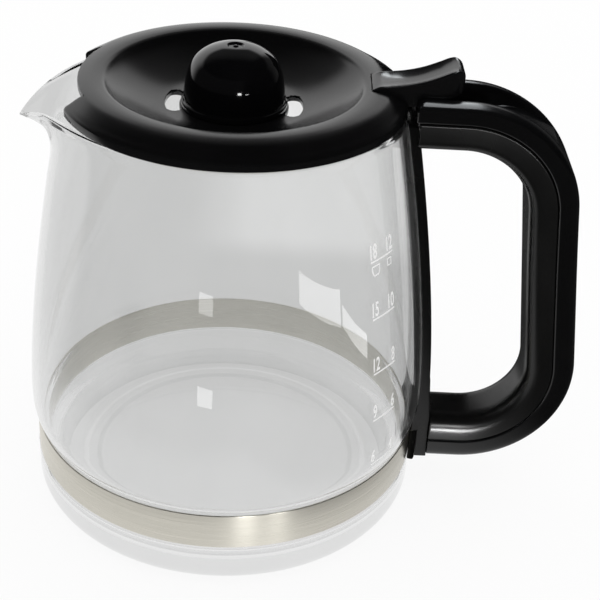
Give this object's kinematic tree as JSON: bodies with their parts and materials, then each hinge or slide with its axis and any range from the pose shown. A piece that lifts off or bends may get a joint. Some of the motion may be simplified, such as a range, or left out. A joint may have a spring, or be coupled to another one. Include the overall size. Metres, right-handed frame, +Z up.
{
  "type": "coffee carafe",
  "caption": "Glass coffee carafe with a pouring spout, a steel band round the foot, a loop handle and a hinged drip-through lid opened with a thumb lever.",
  "frame": {"origin": "centre of the base, on the surface the carafe stands on", "axes": "+Z up, +X from the glass towards the handle, the spout on -X, and the lid hinge along Y"},
  "size_m": [0.2043, 0.147, 0.1749],
  "materials": {
    "glass": "clear polished",
    "band_steel": "brushed round the band",
    "pin_steel": "turned",
    "gloss_black": "gloss",
    "satin_black": "satin",
    "lid_black": "semi-gloss"
  },
  "bodies": {
    "carafe": {"glass_body": "glass", "base_band": "band_steel", "clamp_screw": "pin_steel", "handle_spine": "satin_black", "handle_shell": "gloss_black", "handle_cover": "satin_black", "hinge_pin": "pin_steel"},
    "lid": {"lid_cover": "lid_black", "lid_dome": "gloss_black", "lid_lever": "lid_black"}
  },
  "joints": [
    {"name": "lid_hinge", "type": "hinge", "parent": "carafe", "child": "lid", "pos_m": [0.0681, 0, 0.1575], "axis": [0, 1, 0], "range_deg": [0, 80]}
  ]
}
